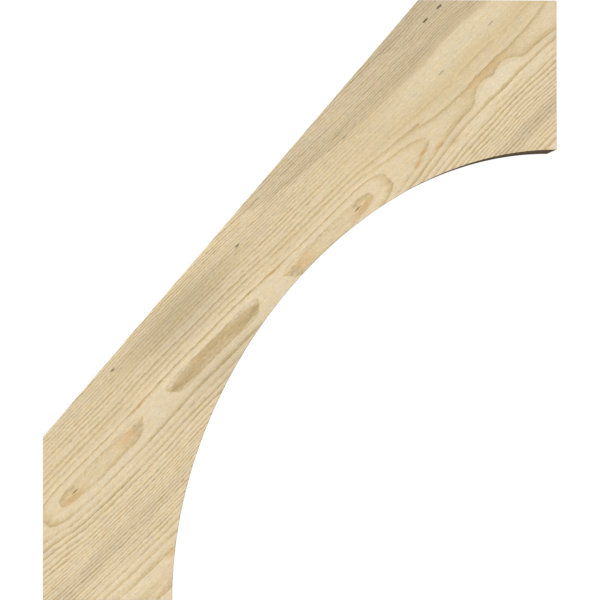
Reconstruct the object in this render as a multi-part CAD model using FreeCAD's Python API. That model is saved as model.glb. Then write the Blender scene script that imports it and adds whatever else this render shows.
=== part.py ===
import FreeCAD
import Part

import os

# A curved timber knee brace, sawn in one piece from a thick softwood plank.
# It is stored lying on its broad back: X runs out from the post, Y runs up
# to the beam and Z is the thickness. The origin is the middle of the
# footprint, on the surface that the brace lies on. Sizes are millimetres.

# Overall block that the brace is drawn in
PROJECTION = 609.6  # out from the post, along X
HEIGHT = 711.2  # along the post, along Y
THICKNESS = 88.9  # dressed thickness of a nominal four inch plank

# Square-cut ends
FOOT_WIDTH = 152.4  # width of the lower end, square to the post
HEAD_DEPTH = 177.8  # depth of the outer end, square to the beam

# Seats that bear on the frame
POST_SEAT = 192.6  # length of the face against the post
BEAM_SEAT = 165.1  # length of the face against the beam

# Curved underside: both ends leave their square cut at a right angle, and
# the fullness says how far each tangent runs towards the corner of the arch
ARCH_FULLNESS = 0.514

# Sanded corner on every edge
ARRIS = 1.0


def outline():
    """Closed wire of the broad face, on the surface the brace lies on."""
    left = -PROJECTION / 2
    right = PROJECTION / 2
    bottom = -HEIGHT / 2
    top = HEIGHT / 2

    foot_heel = FreeCAD.Vector(left, bottom, 0)
    foot_toe = FreeCAD.Vector(left + FOOT_WIDTH, bottom, 0)
    head_toe = FreeCAD.Vector(right, top - HEAD_DEPTH, 0)
    head_heel = FreeCAD.Vector(right, top, 0)
    beam_shoulder = FreeCAD.Vector(right - BEAM_SEAT, top, 0)
    post_shoulder = FreeCAD.Vector(left, bottom + POST_SEAT, 0)

    rise = head_toe.y - foot_toe.y
    run = head_toe.x - foot_toe.x
    arch = Part.BezierCurve()
    arch.setPoles(
        [
            foot_toe,
            foot_toe + FreeCAD.Vector(0, ARCH_FULLNESS * rise, 0),
            head_toe - FreeCAD.Vector(ARCH_FULLNESS * run, 0, 0),
            head_toe,
        ]
    )

    return Part.Wire(
        [
            Part.makeLine(foot_heel, foot_toe),
            arch.toShape(),
            Part.makeLine(head_toe, head_heel),
            Part.makeLine(head_heel, beam_shoulder),
            Part.makeLine(beam_shoulder, post_shoulder),
            Part.makeLine(post_shoulder, foot_heel),
        ]
    )


def knee_brace():
    """The sawn brace with its sanded corners."""
    blank = Part.Face(outline()).extrude(FreeCAD.Vector(0, 0, THICKNESS))
    return blank.makeFillet(ARRIS, blank.Edges)


def main():
    """Writes the brace to parts/knee_brace.step."""
    os.makedirs("parts", exist_ok=True)
    brace = knee_brace()
    brace.exportStep("parts/knee_brace.step")
    box = brace.BoundBox
    print(f"knee_brace: {box.XLength:.1f} x {box.YLength:.1f} x {box.ZLength:.1f} mm")
    print(f"valid {brace.isValid()}, solids {len(brace.Solids)}, volume {brace.Volume:.0f} mm3")


main()
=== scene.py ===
"""Looks of a curved timber knee brace, sawn in one piece from a plank of Douglas fir.

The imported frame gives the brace's place and box. This script saws the visible brace to the same
outline, gives it the figure of planed, flat-sawn fir, and lays it on a pale studio floor.
Lengths are in metres, except in the timber's own pattern, which is worked out in millimetres.
"""

import logging
import math
from dataclasses import dataclass, field
from enum import Enum

import bpy
from bpy.types import Material, Node, NodeSocket, NodeTree, Object
from mathutils import Matrix, Vector


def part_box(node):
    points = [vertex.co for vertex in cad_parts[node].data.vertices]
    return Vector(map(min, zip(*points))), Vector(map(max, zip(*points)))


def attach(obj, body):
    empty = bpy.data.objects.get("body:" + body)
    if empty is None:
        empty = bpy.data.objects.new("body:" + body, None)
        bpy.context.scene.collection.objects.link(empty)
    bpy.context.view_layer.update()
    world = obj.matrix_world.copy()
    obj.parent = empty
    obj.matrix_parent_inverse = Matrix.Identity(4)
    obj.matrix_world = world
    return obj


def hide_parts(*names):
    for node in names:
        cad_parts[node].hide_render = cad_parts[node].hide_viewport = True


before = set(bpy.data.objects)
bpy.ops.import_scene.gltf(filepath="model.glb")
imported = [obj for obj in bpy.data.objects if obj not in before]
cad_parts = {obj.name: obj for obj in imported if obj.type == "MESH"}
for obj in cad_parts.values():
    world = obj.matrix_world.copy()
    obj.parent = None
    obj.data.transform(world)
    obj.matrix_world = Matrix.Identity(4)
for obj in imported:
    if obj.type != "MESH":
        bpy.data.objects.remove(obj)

LOG = logging.getLogger("knee_brace")
NODE = "knee_brace"
MM = 0.001
TOUCH = 0.01 * MM  # a vertex this near to a place is at it

Points = tuple[tuple[float, float], ...]
Weighted = tuple[NodeSocket, NodeSocket | float]

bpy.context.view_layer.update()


# ---------------------------------------------------------------- helpers


def linear(hex_code: str) -> tuple[float, float, float, float]:
    """Turns an sRGB hex colour to linear light.

    Args:
        hex_code: six hex digits, such as "e1cda6".

    Returns:
        Red, green, blue and an alpha of 1.
    """
    parts = [int(hex_code[i : i + 2], 16) / 255 for i in (0, 2, 4)]
    light = [c / 12.92 if c <= 0.04045 else ((c + 0.055) / 1.055) ** 2.4 for c in parts]
    return (*light, 1.0)


def add_node(tree: NodeTree, kind: str, inputs: dict[str | int, object] | None = None,
             **settings) -> Node:
    """Adds a shader node.

    Args:
        tree: the material's or world's node tree.
        kind: the node's type name.
        inputs: for each input, by name or number, a socket to link or a value to set.
        **settings: the node's own settings.

    Returns:
        The new node.
    """
    node = tree.nodes.new(kind)
    for name, value in settings.items():
        setattr(node, name, value)
    for name, value in (inputs or {}).items():
        if isinstance(value, NodeSocket):
            tree.links.new(value, node.inputs[name])
        else:
            node.inputs[name].default_value = value
    return node


def deselect() -> None:
    """Leaves object mode with nothing selected."""
    if bpy.context.object and bpy.context.object.mode != "OBJECT":
        bpy.ops.object.mode_set(mode="OBJECT")
    bpy.ops.object.select_all(action="DESELECT")


def apply_modifier(piece: Object, kind: str, **settings) -> None:
    """Adds a modifier to a piece and applies it at once.

    Args:
        piece: the mesh object.
        kind: the modifier's type, such as "BOOLEAN".
        **settings: the modifier's settings.
    """
    modifier = piece.modifiers.new(kind.title(), kind)
    for name, value in settings.items():
        setattr(modifier, name, value)
    bpy.context.view_layer.objects.active = piece
    bpy.ops.object.modifier_apply(modifier=modifier.name)


# ---------------------------------------------------------------- timber


class Stain(Enum):
    """What a patch of the figure is stained with: its sRGB colour and how it is laid on."""

    SHADE = ("e2e2e2", "MULTIPLY")
    CREAM = ("ebdcbc", "MIX")
    AMBER = ("f7e2bd", "MULTIPLY")
    PITCH = ("54442f", "MIX")


@dataclass(frozen=True)
class Patch:
    """A soft oval patch in the figure, in the timber's own millimetres.

    along and across are its middle, and length, width and depth its half sizes. strength is how
    much it does there: in rings for a swell, and as a share of the stain or the calm. It falls
    away between edge and rim, which are shares of the half sizes.
    """

    along: float
    across: float
    length: float
    width: float
    strength: float
    stain: Stain | None = None
    depth: float = 60.0
    edge: float = 0.0
    rim: float = 1.3


@dataclass(frozen=True)
class Grain:
    """Noise drawn out along the grain.

    along, across and through are the size of a blot, in the units of the place it is looked up
    at. weight is how much it counts for, and detail its octaves of finer noise.
    """

    along: float
    across: float
    through: float
    weight: float = 1.0
    detail: float = 1.0


@dataclass(frozen=True)
class Spot:
    """Where a point lies in the timber, as shader sockets in millimetres.

    place holds the other three as one vector.
    """

    along: NodeSocket
    across: NodeSocket
    height: NodeSocket
    place: NodeSocket


@dataclass(frozen=True)
class PlanedFir:
    """Douglas fir, sawn flat to the grain, planed and sanded, with no coating.

    It gives the eye pale cream earlywood and tan latewood that ends in a crisp line on the bark
    side. The rings are wide and closed into ovals over the heart of the board, and close and
    straight towards its sides. Fine fibre streaks, short resin canals and a few pitch flecks lie
    along the grain, and the surface is a dull satin.

    face_height is the height of the planed face. Lengths are in millimetres, and every place is
    given along the grain and across it, towards the arch.
    """

    face_height: float
    earlywood: str = "e9d5b1"
    midwood: str = "d8c195"
    latewood: str = "c3a97a"
    ring_line: str = "b0976a"
    end_wood: str = "a98a5c"  # laid over the rings where the cut crosses the grain
    grain_turn: float = math.radians(45)  # the grain climbs from the foot to the head
    ridge: float = -28.0  # the heart of the board, across the grain
    pith_depth: float = 135.0  # how far the tree's middle lies under the planed face
    ring_width: float = 1.65  # from ring to ring, down through the board
    fold_start: float = -113.0  # the figure is the same on both sides of this place
    fold_length: float = 463.5  # and turns back again after this length
    # What the foot and the top of each curve below stand for
    curve_foot: float = -1.0
    most_rings: float = 34.0
    most_climb: float = 4.0
    most_share: float = 1.0
    most_bow: float = 4.0
    # Rings counted out from the heart of the board: (across, rings)
    ring_count: Points = (
        (-160, 31.5), (-140, 25.7), (-121, 20), (-98, 12), (-75.5, 6), (-60, 3), (-46.5, 1),
        (-38.5, 0), (-28, -0.33), (-17, 0), (-6.5, 1), (8.5, 3), (24.5, 6), (37.5, 10), (50, 14),
        (64.5, 18), (75.5, 21), (90.5, 23), (102.5, 24), (133.5, 25), (160, 26),
    )
    # Rings that the heart of the board climbs by towards the head: (along, rings)
    ring_climb: Points = (
        (0, 0), (200, 0), (240, 0.12), (262, 0.33), (279, 0.8), (296, 1.25), (320, 1.65),
        (353, 2.3), (383, 2.8), (413, 2.95), (440, 3.0), (463.5, 3.0),
    )
    # How much of that climb the board has to each side of its heart: (across, share)
    climb_share: Points = (
        (-160, 0.1), (-95, 0.15), (-65, 0.4), (-50, 0.65), (-38, 1), (15, 1), (45, 0.7),
        (80, 0.3), (110, 0.15), (160, 0.1),
    )
    # How far the whole figure bows across the board: (along, millimetres)
    bow: Points = (
        (0, 3.5), (30, 3.4), (60, 3.2), (130, 0.8), (180, 0), (413, 0), (440, 1.5), (455, 2),
        (463.5, 2),
    )
    # How the grain wanders across: slowly, then ring by ring, then fibre by fibre
    wander: tuple[Grain, ...] = (
        Grain(70, 16, 30, 2.6, detail=2),
        Grain(15, 5, 12, 1.6),
        Grain(6, 2.2, 5, 1.5),
    )
    # Swells in the ring surface that close the rings into ovals
    swells: tuple[Patch, ...] = (
        Patch(98, -25, 42, 16, 0.6),
        Patch(0, -27, 62, 15, 0.24),
        Patch(30, -11, 60, 6, 0.2),
        Patch(292, -28, 28, 11, 0.28),
        Patch(447, -21, 23, 10, 0.44, edge=0.4),
        Patch(463.5, 2, 48, 14, -0.45),
    )
    # The wide rings over the heart keep their latewood to a narrower share of the ring
    heart: Patch = Patch(250, -26, 420, 19, 0.5, edge=0.7)
    # How dark a ring grows through its year: (share of the ring, latewood)
    ring_tone: Points = ((0, 0.04), (0.25, 0), (0.5, 0.17), (0.68, 0.5), (0.86, 0.87), (0.97, 1))
    # How much latewood the middle colours stand for
    midwood_share: float = 0.3
    latewood_share: float = 0.7
    # The latewood of the palest year, what the darkest year adds, and how it comes and goes
    pale_year: float = 0.32
    dark_year: float = 0.42
    patchiness: tuple[Grain, ...] = (Grain(55, 7, 20, 1.1), Grain(6, 1.5, 4, 1.1, detail=2))
    # Where the latewood hardly shows, and how much of it is left there
    calm_latewood: float = 0.27
    calm: tuple[Patch, ...] = (
        Patch(463, -79, 250, 22, 0.85, edge=0.5),
        Patch(0, -86, 150, 12, 0.6, edge=0.4),
        Patch(190, -60, 210, 12, 0.35, edge=0.3),
        Patch(355, -32, 130, 30, 0.35, edge=0.5),
        Patch(440, -54, 100, 14, 0.4, edge=0.5),
        Patch(463, -106, 300, 17, 0.25, edge=0.5),
    )
    # Grey shade, pale cream pockets, and amber where resin has gathered
    stains: tuple[Patch, ...] = (
        Patch(0, -78, 105, 30, 0.75, Stain.SHADE, edge=0.2),
        Patch(60, -98, 260, 16, 0.35, Stain.SHADE),
        Patch(0, -6, 150, 24, 0.5, Stain.SHADE),
        Patch(0, -28.3, 78, 10, 0.4, Stain.SHADE, edge=0.85, rim=1.0),
        Patch(56, -29.5, 25, 9.5, 0.35, Stain.SHADE, edge=0.5, rim=1.0),
        Patch(463, -124, 330, 30, 0.54, Stain.SHADE, edge=0.97, rim=1.03),
        Patch(420, -108, 150, 14, 0.25, Stain.SHADE),
        Patch(463, -146, 170, 26, 0.5, Stain.SHADE),
        Patch(320, 49, 300, 11, 0.4, Stain.SHADE, edge=0.3),
        Patch(463, 52, 60, 13, 0.35, Stain.SHADE),
        Patch(463, -81, 180, 17, 0.45, Stain.CREAM, edge=0.4),
        Patch(463, -16, 36, 9, 0.6, Stain.CREAM, edge=0.75, rim=1.1),
        Patch(113, -46, 16, 3.5, 0.5, Stain.AMBER),
        Patch(325, -15, 9, 3, 1.0, Stain.AMBER),
        Patch(338, -20, 9, 3, 0.9, Stain.AMBER),
        Patch(358, -13, 10, 3, 0.9, Stain.AMBER),
        Patch(375, -3, 9, 3, 0.7, Stain.AMBER),
        Patch(205, 105, 13, 4, 1.0, Stain.AMBER, depth=22),
        Patch(131, -28, 10, 7, 0.6, Stain.SHADE, edge=0.3),
        Patch(146, -29, 22, 7, 0.8, Stain.AMBER),
        Patch(240, -24, 22, 7, 0.6, Stain.AMBER),
        Patch(0, -28.3, 78, 10, 0.3, Stain.AMBER, edge=0.8, rim=1.0),
        Patch(463, -33, 45, 6, 0.5, Stain.AMBER),
    )
    # Pitch flecks, which lie only near the planed face
    flecks: tuple[Patch, ...] = (
        Patch(104, -98, 3.8, 1.3, 0.75, Stain.PITCH, depth=4, edge=0.3),
        Patch(452, -129.5, 4.2, 0.9, 0.95, Stain.PITCH, depth=4, edge=0.7),
        Patch(450, -128.8, 1.6, 1.6, 0.5, Stain.PITCH, depth=4),
        Patch(236.5, -28, 6.5, 1.0, 0.85, Stain.PITCH, depth=4),
        Patch(236.5, -33, 4, 1.6, 0.25, Stain.PITCH, depth=4),
        Patch(204, -31, 11, 1.6, 0.14, Stain.PITCH, depth=4),
        Patch(421.5, -72.5, 6, 0.7, 0.55, Stain.PITCH, depth=4, edge=0.3),
        Patch(405, -46, 0.9, 6, 0.1, Stain.PITCH, depth=4),
        Patch(198, -73, 3, 1.6, 0.25, Stain.PITCH, depth=4),
        Patch(280, -107, 10, 1.1, 0.4, Stain.PITCH, depth=4),
        Patch(261, -101, 3, 1.0, 0.45, Stain.PITCH, depth=4),
        Patch(285, -99, 5, 1.1, 0.45, Stain.PITCH, depth=4),
        Patch(303, -101, 5, 0.9, 0.3, Stain.PITCH, depth=4),
        Patch(158, -121, 16, 0.9, 0.25, Stain.PITCH, depth=4),
        Patch(323, -114, 5, 0.9, 0.3, Stain.PITCH, depth=4),
        Patch(138, 53, 4, 2.4, 0.2, Stain.PITCH, depth=4),
    )
    # Fibre streaks, far coarser than the real fibres so that they show
    fibre: Grain = Grain(15, 0.8, 0.8, 0.26, detail=2)
    # Coarse streaks, soft mottle, the nap left by sanding, and a slow change along the board
    tones: tuple[Grain, ...] = (
        Grain(45, 3, 5, 0.14, detail=2),
        Grain(9, 3.5, 5, 0.16, detail=3),
        Grain(2.6, 1, 1.4, 0.42, detail=2),
        Grain(150, 40, 60, 0.12),
    )
    # Where the wood turns warmer or cooler, as shares of its red and its blue
    warmth: Grain = Grain(16, 6, 9, detail=2)
    warm_red: float = 0.10
    warm_blue: float = -0.27
    # Resin canals are short dark dashes, drawn a little coarser than real so that they show
    canals: Grain = Grain(7, 0.55, 0.55, -0.14)
    canal_from: float = 0.17
    canal_full: float = 0.3
    # How much of the end wood's colour a cut takes: at the least, and with its latewood
    end_least: float = 0.4
    end_latewood: float = 0.9
    # The bandsaw's faint ripple through the thickness of the sawn edges, in metres
    ripple: Grain = Grain(2.2 * MM, 2.2 * MM, 120 * MM, 2.0, detail=2)
    # Latewood stands a little proud of the earlywood after sanding
    latewood_relief: float = 0.5
    relief_strength: float = 0.5
    relief_height: float = 0.08 * MM
    rough_earlywood: float = 0.68
    rough_latewood: float = 0.55
    ior: float = 1.5

    def curve(self, tree: NodeTree, socket: NodeSocket, points: Points,
              most: float) -> NodeSocket:
        """Adds a smooth curve through points.

        Args:
            tree: the material's node tree.
            socket: the place to look up, in millimetres.
            points: (place, value) pairs, in order.
            most: the value that the top of the curve stands for.

        Returns:
            The value at each place.
        """
        start, length = points[0][0], points[-1][0] - points[0][0]
        rise = most - self.curve_foot
        share = add_node(tree, "ShaderNodeMapRange",
                         {"Value": socket, "From Min": start, "From Max": start + length})
        node = add_node(tree, "ShaderNodeFloatCurve", {"Value": share.outputs[0]})
        line = node.mapping.curves[0]
        while len(line.points) < len(points):
            line.points.new(0.5, 0.5)
        for point, (place, value) in zip(line.points, points):
            point.location = ((place - start) / length, (value - self.curve_foot) / rise)
            point.handle_type = "AUTO_CLAMPED"
        node.mapping.update()
        return self.weigh(tree, self.curve_foot, (node.outputs[0], rise))

    def weigh(self, tree: NodeTree, start: NodeSocket | float, *parts: Weighted) -> NodeSocket:
        """Adds weighted parts to a value.

        Args:
            tree: the material's node tree.
            start: the value to start from.
            *parts: (socket, weight) pairs.

        Returns:
            The sum.
        """
        total = start
        for socket, weight in parts:
            total = add_node(tree, "ShaderNodeMath", {0: socket, 1: weight, 2: total},
                             operation="MULTIPLY_ADD").outputs[0]
        return total

    def grain_noise(self, tree: NodeTree, place: NodeSocket, grain: Grain) -> NodeSocket:
        """Adds noise centred on zero, with its weight still to be given.

        Args:
            tree: the material's node tree.
            place: the place to look up.
            grain: the size and the detail of the noise.

        Returns:
            Noise from about -0.5 to 0.5.
        """
        per_blot = Vector((1 / grain.along, 1 / grain.across, 1 / grain.through))
        scaled = add_node(tree, "ShaderNodeVectorMath", {0: place, 1: per_blot},
                          operation="MULTIPLY")
        noise = add_node(tree, "ShaderNodeTexNoise",
                         {"Vector": scaled.outputs[0], "Scale": 1.0, "Detail": grain.detail})
        return self.weigh(tree, -0.5, (noise.outputs["Fac"], 1.0))

    def grained(self, tree: NodeTree, start: NodeSocket | float, spot: Spot,
                grains: tuple[Grain, ...]) -> NodeSocket:
        """Adds several weighted noises to a value.

        Args:
            tree: the material's node tree.
            start: the value to start from.
            spot: the place to look up.
            grains: the noises.

        Returns:
            The sum.
        """
        noises = [(self.grain_noise(tree, spot.place, grain), grain.weight) for grain in grains]
        return self.weigh(tree, start, *noises)

    def patches(self, tree: NodeTree, place: NodeSocket,
                group: tuple[Patch, ...]) -> NodeSocket:
        """Adds up soft oval patches.

        Args:
            tree: the material's node tree.
            place: the place in the figure, in millimetres.
            group: the patches.

        Returns:
            The sum of the patches' strengths at each place.
        """
        total: NodeSocket | float = 0.0
        for patch in group:
            size = (patch.length, patch.width, patch.depth)
            middle = (patch.along, patch.across, self.face_height)
            local = add_node(tree, "ShaderNodeVectorMath",
                             {0: place, 1: Vector([1 / s for s in size]),
                              2: Vector([-c / s for c, s in zip(middle, size)])},
                             operation="MULTIPLY_ADD")
            away = add_node(tree, "ShaderNodeVectorMath", {0: local.outputs[0]},
                            operation="LENGTH")
            soft = add_node(tree, "ShaderNodeMapRange",
                            {"Value": away.outputs["Value"], "From Min": patch.edge,
                             "From Max": patch.rim, "To Min": patch.strength, "To Max": 0.0},
                            interpolation_type="SMOOTHSTEP")
            total = add_node(tree, "ShaderNodeMath", {0: soft.outputs[0], 1: total},
                             operation="ADD").outputs[0]
        return total

    def material(self) -> Material:
        """Builds the timber as a solid pattern, so that the figure runs on over every edge.

        Returns:
            The material.
        """
        mat = bpy.data.materials.new("planed_douglas_fir")
        mat.use_nodes = True
        tree = mat.node_tree
        tree.nodes.clear()
        coords = add_node(tree, "ShaderNodeTexCoord").outputs["Object"]
        plain = self.plain_spot(tree, coords)
        bent = self.bent_spot(tree, plain)
        colour, latewood = self.ring_colour(tree, self.rings(tree, bent), bent, plain)
        colour = self.stained(tree, colour, bent, plain)
        colour, fibre = self.fibres(tree, colour, plain)
        shader = self.surface(tree, colour, latewood, fibre, coords)
        out = add_node(tree, "ShaderNodeOutputMaterial")
        tree.links.new(shader, out.inputs["Surface"])
        return mat

    def spot(self, tree: NodeTree, along: NodeSocket, across: NodeSocket,
             height: NodeSocket) -> Spot:
        """Gathers three lengths into a place in the timber.

        Args:
            tree: the material's node tree.
            along: the place along the grain.
            across: the place across the grain.
            height: the place through the board.

        Returns:
            The spot.
        """
        place = add_node(tree, "ShaderNodeCombineXYZ", {0: along, 1: across, 2: height})
        return Spot(along, across, height, place.outputs[0])

    def plain_spot(self, tree: NodeTree, coords: NodeSocket) -> Spot:
        """Turns the brace's own coordinates to the timber's: along, across and up.

        Args:
            tree: the material's node tree.
            coords: the brace's own coordinates, in metres.

        Returns:
            The spot, with the figure folded at both ends of its length.
        """
        turned = add_node(tree, "ShaderNodeMapping",
                          {"Vector": coords, "Scale": (1 / MM,) * 3,
                           "Rotation": (0.0, 0.0, -self.grain_turn)})
        split = add_node(tree, "ShaderNodeSeparateXYZ", {0: turned.outputs[0]})
        from_fold = self.weigh(tree, -self.fold_start, (split.outputs["X"], 1.0))
        along = add_node(tree, "ShaderNodeMath", {0: from_fold, 1: self.fold_length},
                         operation="PINGPONG").outputs[0]
        across = self.weigh(tree, 0.0, (split.outputs["Y"], -1.0))
        return self.spot(tree, along, across, split.outputs["Z"])

    def bent_spot(self, tree: NodeTree, plain: Spot) -> Spot:
        """Bends a spot as the grain bows and wanders.

        Args:
            tree: the material's node tree.
            plain: the straight spot.

        Returns:
            The bent spot.
        """
        bow = self.curve(tree, plain.along, self.bow, self.most_bow)
        across = self.weigh(tree, plain.across, (bow, 1.0))
        across = self.grained(tree, across, plain, self.wander)
        return self.spot(tree, plain.along, across, plain.height)

    def rings(self, tree: NodeTree, bent: Spot) -> NodeSocket:
        """Counts the rings, with a whole number at the crisp edge of each latewood.

        Args:
            tree: the material's node tree.
            bent: the place in the figure.

        Returns:
            The count of rings.
        """
        count = self.curve(tree, bent.across, self.ring_count, self.most_rings)
        climb = self.curve(tree, bent.along, self.ring_climb, self.most_climb)
        share = self.curve(tree, bent.across, self.climb_share, self.most_share)
        swell = self.patches(tree, bent.place, self.swells)
        offset = self.weigh(tree, -self.ridge, (bent.across, 1.0))
        below = self.weigh(tree, self.pith_depth - self.face_height, (bent.height, 1.0))
        # Down through the board the rings curve round the pith, so the edges show them too
        reach = []
        for depth in (below, self.pith_depth):
            arm = add_node(tree, "ShaderNodeCombineXYZ", {0: offset, 1: depth})
            reach.append(add_node(tree, "ShaderNodeVectorMath", {0: arm.outputs[0]},
                                  operation="LENGTH").outputs["Value"])
        return self.weigh(tree, count, (climb, share), (swell, 1.0),
                          (reach[0], 1 / self.ring_width), (reach[1], -1 / self.ring_width))

    def ring_colour(self, tree: NodeTree, rings: NodeSocket, bent: Spot,
                    plain: Spot) -> tuple[NodeSocket, NodeSocket]:
        """Colours each ring from pale earlywood to tan latewood.

        Args:
            tree: the material's node tree.
            rings: the count of rings.
            bent: the place in the bent figure.
            plain: the straight spot.

        Returns:
            The colour, and how much latewood there is.
        """
        age = add_node(tree, "ShaderNodeMath", {0: rings}, operation="FRACT").outputs[0]
        year = add_node(tree, "ShaderNodeMath", {0: rings}, operation="FLOOR").outputs[0]
        lateness = self.weigh(tree, 1.0, (self.patches(tree, bent.place, (self.heart,)), 1.0))
        age = add_node(tree, "ShaderNodeMath", {0: age, 1: lateness},
                       operation="POWER").outputs[0]
        ramp = add_node(tree, "ShaderNodeValToRGB", {0: age})
        stops = ramp.color_ramp.elements
        for position, _ in self.ring_tone[1:-1]:
            stops.new(position)
        for stop, (position, value) in zip(stops, self.ring_tone):
            stop.position = position
            stop.color = (value, value, value, 1.0)
        vigour = add_node(tree, "ShaderNodeTexWhiteNoise", {"W": year}, noise_dimensions="1D")
        strength = self.weigh(tree, self.pale_year, (vigour.outputs["Value"], self.dark_year))
        strength = self.grained(tree, strength, plain, self.patchiness)
        sharp = add_node(tree, "ShaderNodeMath", {0: ramp.outputs["Color"], 1: strength},
                         operation="MULTIPLY", use_clamp=True).outputs[0]
        calm = self.patches(tree, bent.place, self.calm)
        latewood = add_node(tree, "ShaderNodeMix", {0: calm, 2: sharp, 3: self.calm_latewood},
                            data_type="FLOAT").outputs[0]
        tone = add_node(tree, "ShaderNodeValToRGB", {0: latewood})
        steps = tone.color_ramp.elements
        steps[0].color = linear(self.earlywood)
        steps[1].color = linear(self.ring_line)
        steps.new(self.midwood_share).color = linear(self.midwood)
        steps.new(self.latewood_share).color = linear(self.latewood)
        return tone.outputs["Color"], latewood

    def stained(self, tree: NodeTree, colour: NodeSocket, bent: Spot,
                plain: Spot) -> NodeSocket:
        """Lays the stains and the pitch flecks over the rings.

        Args:
            tree: the material's node tree.
            colour: the colour so far.
            bent: the place in the bent figure, which the stains follow.
            plain: the straight place, where the flecks are.

        Returns:
            The stained colour.
        """
        for stain in Stain:
            shade, blend = stain.value
            spot = plain if stain is Stain.PITCH else bent
            group = tuple(patch for patch in self.stains + self.flecks if patch.stain is stain)
            mask = self.patches(tree, spot.place, group)
            colour = add_node(tree, "ShaderNodeMix",
                              {0: mask, 6: colour, 7: linear(shade)},
                              data_type="RGBA", blend_type=blend).outputs[2]
        return colour

    def fibres(self, tree: NodeTree, colour: NodeSocket,
               plain: Spot) -> tuple[NodeSocket, NodeSocket]:
        """Adds fibre streaks, resin canals and slow changes of tone along the grain.

        Args:
            tree: the material's node tree.
            colour: the colour so far.
            plain: the straight spot.

        Returns:
            The colour, and the fibre streaks on their own.
        """
        fibre = self.grain_noise(tree, plain.place, self.fibre)
        warmth = self.grain_noise(tree, plain.place, self.warmth)
        canal = self.grain_noise(tree, plain.place, self.canals)
        dash = add_node(tree, "ShaderNodeMapRange",
                        {"Value": canal, "From Min": self.canal_from,
                         "From Max": self.canal_full}).outputs[0]
        green = self.weigh(tree, 1.0, (fibre, self.fibre.weight))
        green = self.grained(tree, green, plain, self.tones)
        green = self.weigh(tree, green, (dash, self.canals.weight))
        red = self.weigh(tree, green, (warmth, self.warm_red))
        blue = self.weigh(tree, green, (warmth, self.warm_blue))
        gain = add_node(tree, "ShaderNodeCombineColor", {0: red, 1: green, 2: blue})
        lit = add_node(tree, "ShaderNodeMix", {0: 1.0, 6: colour, 7: gain.outputs[0]},
                       data_type="RGBA", blend_type="MULTIPLY")
        return lit.outputs[2], fibre

    def surface(self, tree: NodeTree, colour: NodeSocket, latewood: NodeSocket,
                fibre: NodeSocket, coords: NodeSocket) -> NodeSocket:
        """Makes the dull satin surface, darker where the cut crosses the grain.

        Args:
            tree: the material's node tree.
            colour: the colour so far.
            latewood: how much latewood there is.
            fibre: fine streaks along the grain.
            coords: the brace's own coordinates, in metres.

        Returns:
            The shader.
        """
        grain = Vector((math.cos(self.grain_turn), math.sin(self.grain_turn), 0.0))
        normal = add_node(tree, "ShaderNodeNewGeometry").outputs["Normal"]
        facing = []
        for way in (grain, Vector((0.0, 0.0, 1.0))):
            lean = add_node(tree, "ShaderNodeVectorMath", {0: normal, 1: way},
                            operation="DOT_PRODUCT")
            facing.append(add_node(tree, "ShaderNodeMath", {0: lean.outputs["Value"]},
                                   operation="ABSOLUTE").outputs[0])
        end, planed = facing
        depth = self.weigh(tree, self.end_least, (latewood, self.end_latewood))
        darker = add_node(tree, "ShaderNodeMath", {0: end, 1: depth}, operation="MULTIPLY",
                          use_clamp=True)
        colour = add_node(tree, "ShaderNodeMix",
                          {0: darker.outputs[0], 6: colour, 7: linear(self.end_wood)},
                          data_type="RGBA", blend_type="MULTIPLY").outputs[2]
        # The planed faces have none of the saw's ripple
        ripple = self.grain_noise(tree, coords, self.ripple)
        edges = self.weigh(tree, 1.0, (planed, -1.0))
        sawn = add_node(tree, "ShaderNodeMath", {0: ripple, 1: edges}, operation="MULTIPLY")
        relief = self.weigh(tree, fibre, (latewood, self.latewood_relief),
                            (sawn.outputs[0], self.ripple.weight))
        bump = add_node(tree, "ShaderNodeBump",
                        {"Height": relief, "Strength": self.relief_strength,
                         "Distance": self.relief_height})
        rough = add_node(tree, "ShaderNodeMapRange",
                         {"Value": latewood, "To Min": self.rough_earlywood,
                          "To Max": self.rough_latewood})
        return add_node(tree, "ShaderNodeBsdfPrincipled",
                        {"Base Color": colour, "Roughness": rough.outputs[0],
                         "IOR": self.ior, "Normal": bump.outputs[0]}).outputs[0]


# ---------------------------------------------------------------- the brace


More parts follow.
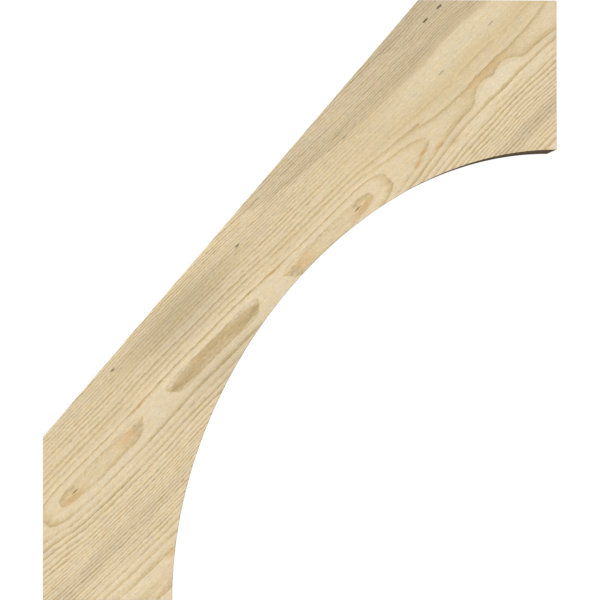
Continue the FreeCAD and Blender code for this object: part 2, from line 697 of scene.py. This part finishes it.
@dataclass
class SawnBrace:
    """The brace, sawn from its blank in the order that a sawyer cuts it."""

    low: Vector
    high: Vector
    wood: PlanedFir
    foot_width: float = 152.4 * MM
    head_depth: float = 177.8 * MM
    post_seat: float = 192.6 * MM
    beam_seat: float = 165.1 * MM
    arch_fullness: float = 0.514  # how far each end of the arch runs straight on, as a share
    arris: float = 0.6 * MM  # the roundness of the eased corners
    arris_steps: int = 3
    arris_angle: float = math.radians(30)
    shade_angle: float = math.radians(40)
    flat_weight: int = 100  # how far the flat faces rule the shading of the eased corners
    arch_steps: int = 160
    saw_margin: float = 20 * MM  # how far the cut runs past the blank

    def build(self) -> Object:
        """Saws, eases and dresses the brace.

        Returns:
            The finished piece.
        """
        brace = self.blank()
        self.saw_back(brace)
        self.saw_arch(brace)
        self.ease_arrises(brace)
        brace.data.materials.clear()
        brace.data.materials.append(self.wood.material())
        return brace

    def blank(self) -> Object:
        """Cuts the rectangular blank from the plank.

        Returns:
            The blank.
        """
        deselect()
        bpy.ops.mesh.primitive_cube_add(size=1.0, location=(self.low + self.high) / 2)
        blank = bpy.context.object
        blank.name = blank.data.name = "sawn_brace"
        blank.scale = self.high - self.low
        bpy.ops.object.transform_apply(location=True, rotation=True, scale=True)
        return blank

    def saw_back(self, brace: Object) -> None:
        """Takes off the sloping back with one straight cut.

        Args:
            brace: the blank.
        """
        lower = Vector((self.low.x, self.low.y + self.post_seat, self.low.z))
        upper = Vector((self.high.x - self.beam_seat, self.high.y, self.low.z))
        slope = upper - lower
        bpy.ops.object.mode_set(mode="EDIT")
        bpy.ops.mesh.select_all(action="SELECT")
        bpy.ops.mesh.bisect(plane_co=lower, plane_no=(-slope.y, slope.x, 0.0),
                            clear_outer=True, use_fill=True)
        bpy.ops.object.mode_set(mode="OBJECT")

    def saw_arch(self, brace: Object) -> None:
        """Takes out the arch with a waste block that has its curve.

        Args:
            brace: the blank with its back cut.
        """
        toe = Vector((self.low.x + self.foot_width, self.low.y, 0.0))
        tip = Vector((self.high.x, self.high.y - self.head_depth, 0.0))
        waste = self.arch_edge(toe, tip)
        self.close_waste(waste, toe, tip)
        apply_modifier(brace, "BOOLEAN", operation="DIFFERENCE", object=waste, solver="EXACT")
        bpy.data.objects.remove(waste, do_unlink=True)

    def arch_edge(self, toe: Vector, tip: Vector) -> Object:
        """Draws the arch as one curve that leaves both square ends at a right angle.

        Args:
            toe: where the arch starts, at the foot.
            tip: where it ends, at the head.

        Returns:
            The edge, as a row of vertices.
        """
        deselect()
        bpy.ops.curve.primitive_bezier_curve_add(location=(0.0, 0.0, 0.0))
        path = bpy.context.object
        path.data.resolution_u = self.arch_steps
        start, end = path.data.splines[0].bezier_points
        for point in (start, end):
            point.handle_left_type = point.handle_right_type = "FREE"
        start.co = start.handle_left = toe
        start.handle_right = toe + Vector((0.0, self.arch_fullness * (tip.y - toe.y), 0.0))
        end.co = end.handle_right = tip
        end.handle_left = tip - Vector((self.arch_fullness * (tip.x - toe.x), 0.0, 0.0))
        bpy.ops.object.convert(target="MESH")
        waste = bpy.context.object
        waste.name = "arch_waste"
        return waste

    def close_waste(self, waste: Object, toe: Vector, tip: Vector) -> None:
        """Closes the edge of the arch round its waste and gives it more than the thickness.

        Args:
            waste: the edge of the arch.
            toe: where the arch starts, at the foot.
            tip: where it ends, at the head.
        """
        # Past the toe and the tip the cut runs straight on, out of the blank
        out = self.saw_margin
        for place, move in ((toe, (0.0, -out, 0.0)), (tip, (out, 0.0, 0.0))):
            self.select_corner(waste, place)
            bpy.ops.mesh.extrude_region_move(TRANSFORM_OT_translate={"value": move})
            bpy.ops.object.mode_set(mode="OBJECT")
        self.select_corner(waste, tip + Vector((out, 0.0, 0.0)))
        down = (0.0, toe.y - out - tip.y, 0.0)
        bpy.ops.mesh.extrude_region_move(TRANSFORM_OT_translate={"value": down})
        bpy.ops.mesh.select_all(action="SELECT")
        bpy.ops.mesh.edge_face_add()
        bpy.ops.transform.translate(value=(0.0, 0.0, self.low.z - out))
        rise = (0.0, 0.0, self.high.z - self.low.z + 2 * out)
        bpy.ops.mesh.extrude_region_move(TRANSFORM_OT_translate={"value": rise})
        bpy.ops.mesh.select_all(action="SELECT")
        bpy.ops.mesh.normals_make_consistent(inside=False)
        bpy.ops.object.mode_set(mode="OBJECT")

    @staticmethod
    def select_corner(piece: Object, place: Vector) -> None:
        """Enters edit mode with only the vertex at a place selected.

        Args:
            piece: the mesh object.
            place: where the vertex is.
        """
        deselect()
        piece.select_set(True)
        bpy.context.view_layer.objects.active = piece
        bpy.ops.object.mode_set(mode="EDIT")
        bpy.ops.mesh.select_mode(type="VERT")
        bpy.ops.mesh.select_all(action="DESELECT")
        bpy.ops.object.mode_set(mode="OBJECT")
        for vertex in piece.data.vertices:
            vertex.select = (vertex.co - place).length < TOUCH
        bpy.ops.object.mode_set(mode="EDIT")

    def ease_arrises(self, brace: Object) -> None:
        """Rounds every sawn corner and keeps the flat faces flat in shading.

        Args:
            brace: the sawn brace.
        """
        apply_modifier(brace, "BEVEL", width=self.arris, segments=self.arris_steps,
                       limit_method="ANGLE", angle_limit=self.arris_angle)
        deselect()
        brace.select_set(True)
        bpy.context.view_layer.objects.active = brace
        bpy.ops.object.shade_smooth_by_angle(angle=self.shade_angle)
        apply_modifier(brace, "WEIGHTED_NORMAL", keep_sharp=True, weight=self.flat_weight)


# ---------------------------------------------------------------- the studio


@dataclass(frozen=True)
class PaintedFloor:
    """Matt white studio floor, which gives the eye plain white with a faint shadow.

    Seen from above it is plain white, and seen aslant it shows where the brace stands.
    """

    pale: str = "f0f0f0"
    bounce: str = "86837d"  # what the floor throws back on the brace
    glow: float = 1.03
    aslant: float = 0.5
    aslant_white: float = 0.55
    above: float = 0.95
    above_white: float = 0.975

    def material(self) -> Material:
        """Builds the floor's paint.

        Returns:
            The material.
        """
        mat = bpy.data.materials.new("studio_floor")
        mat.use_nodes = True
        tree = mat.node_tree
        tree.nodes.clear()
        path = add_node(tree, "ShaderNodeLightPath")
        dull = add_node(tree, "ShaderNodeBsdfDiffuse", {"Color": linear(self.bounce)})
        pale = add_node(tree, "ShaderNodeBsdfDiffuse", {"Color": linear(self.pale)})
        glow = add_node(tree, "ShaderNodeEmission", {"Strength": self.glow})
        incoming = add_node(tree, "ShaderNodeNewGeometry").outputs["Incoming"]
        steepness = add_node(tree, "ShaderNodeVectorMath",
                             {0: incoming, 1: Vector((0.0, 0.0, 1.0))}, operation="DOT_PRODUCT")
        share = add_node(tree, "ShaderNodeMapRange",
                         {"Value": steepness.outputs["Value"],
                          "From Min": self.aslant, "From Max": self.above,
                          "To Min": self.aslant_white, "To Max": self.above_white})
        white = add_node(tree, "ShaderNodeMixShader",
                         {0: share.outputs[0], 1: pale.outputs[0], 2: glow.outputs[0]})
        both = add_node(tree, "ShaderNodeMixShader",
                        {0: path.outputs["Is Camera Ray"], 1: dull.outputs[0],
                         2: white.outputs[0]})
        out = add_node(tree, "ShaderNodeOutputMaterial")
        tree.links.new(both.outputs[0], out.inputs["Surface"])
        return mat


@dataclass
class Studio:
    """A pale floor, soft light from the upper left, and a camera that looks down.

    front is the height of the brace's planed face, which the eye and the aim are measured from.
    """

    front: float
    eye: Vector = field(default_factory=lambda: Vector((-192.0, -41.5, 3830.0)) * MM)
    aim: Vector = field(default_factory=lambda: Vector((-1.1, -1.2, 0.0)) * MM)
    lens: float = 194.12  # in millimetres, as the film is
    film_width: float = 36.0
    nearest: float = 0.1
    farthest: float = 50.0
    sun_turn: float = math.radians(135)
    sun_height: float = math.radians(52)
    sun_size: float = math.radians(12)
    sun_share: float = 0.796  # of the light on the planed face
    fill: float = 0.18
    backdrop: float = 1.0
    floor_size: float = 12.0
    paint: PaintedFloor = PaintedFloor()

    def build(self) -> None:
        """Sets up the floor, the light and the camera."""
        self.floor()
        self.sun()
        self.room()
        self.camera()
        bpy.context.scene.view_settings.view_transform = "Standard"

    def floor(self) -> None:
        """Lays the painted floor under the brace."""
        deselect()
        bpy.ops.mesh.primitive_plane_add(size=self.floor_size, location=(0.0, 0.0, 0.0))
        floor = bpy.context.object
        floor.name = "floor"
        floor.data.materials.append(self.paint.material())

    def sun(self) -> None:
        """Hangs a soft sun at the upper left."""
        lamp = bpy.data.lights.new("key", "SUN")
        lamp.energy = self.sun_share * math.pi / math.sin(self.sun_height)
        lamp.angle = self.sun_size
        key = bpy.data.objects.new("key", lamp)
        flat = math.cos(self.sun_height)
        towards = Vector((math.cos(self.sun_turn) * flat, math.sin(self.sun_turn) * flat,
                          math.sin(self.sun_height)))
        key.rotation_euler = towards.to_track_quat("Z", "Y").to_euler()
        bpy.context.scene.collection.objects.link(key)

    def room(self) -> None:
        """Fills in the shade from the room, in front of a white backdrop."""
        world = bpy.data.worlds.new("room")
        bpy.context.scene.world = world
        world.use_nodes = True
        tree = world.node_tree
        tree.nodes.clear()
        path = add_node(tree, "ShaderNodeLightPath")
        white = (1.0, 1.0, 1.0, 1.0)
        fill = add_node(tree, "ShaderNodeBackground", {"Color": white, "Strength": self.fill})
        backdrop = add_node(tree, "ShaderNodeBackground",
                            {"Color": white, "Strength": self.backdrop})
        both = add_node(tree, "ShaderNodeMixShader",
                        {0: path.outputs["Is Camera Ray"], 1: fill.outputs[0],
                         2: backdrop.outputs[0]})
        out = add_node(tree, "ShaderNodeOutputWorld")
        tree.links.new(both.outputs[0], out.inputs["Surface"])

    def camera(self) -> None:
        """Hangs the camera over the brace, with the head of the brace at the top."""
        data = bpy.data.cameras.new("camera")
        data.lens = self.lens
        data.sensor_width = self.film_width
        data.clip_start = self.nearest
        data.clip_end = self.farthest
        camera = bpy.data.objects.new("camera", data)
        face = Vector((0.0, 0.0, self.front))
        camera.location = self.eye + face
        back = (camera.location - (self.aim + face)).normalized()
        right = Vector((0.0, 1.0, 0.0)).cross(back).normalized()
        turn = Matrix((right, back.cross(right), back)).transposed()
        camera.rotation_euler = turn.to_euler()
        bpy.context.scene.collection.objects.link(camera)
        bpy.context.scene.camera = camera


def main() -> None:
    """Builds the brace and the studio."""
    logging.basicConfig(level=logging.INFO, format="%(name)s: %(message)s")
    low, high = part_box(NODE)
    brace = SawnBrace(low, high, PlanedFir(face_height=high.z / MM)).build()
    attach(brace, "root")
    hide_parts(NODE)
    LOG.info("%s: %d faces", brace.name, len(brace.data.polygons))
    Studio(front=high.z).build()
    LOG.info("studio: floor, sun, room and camera")


if __name__ == "__main__":
    main()
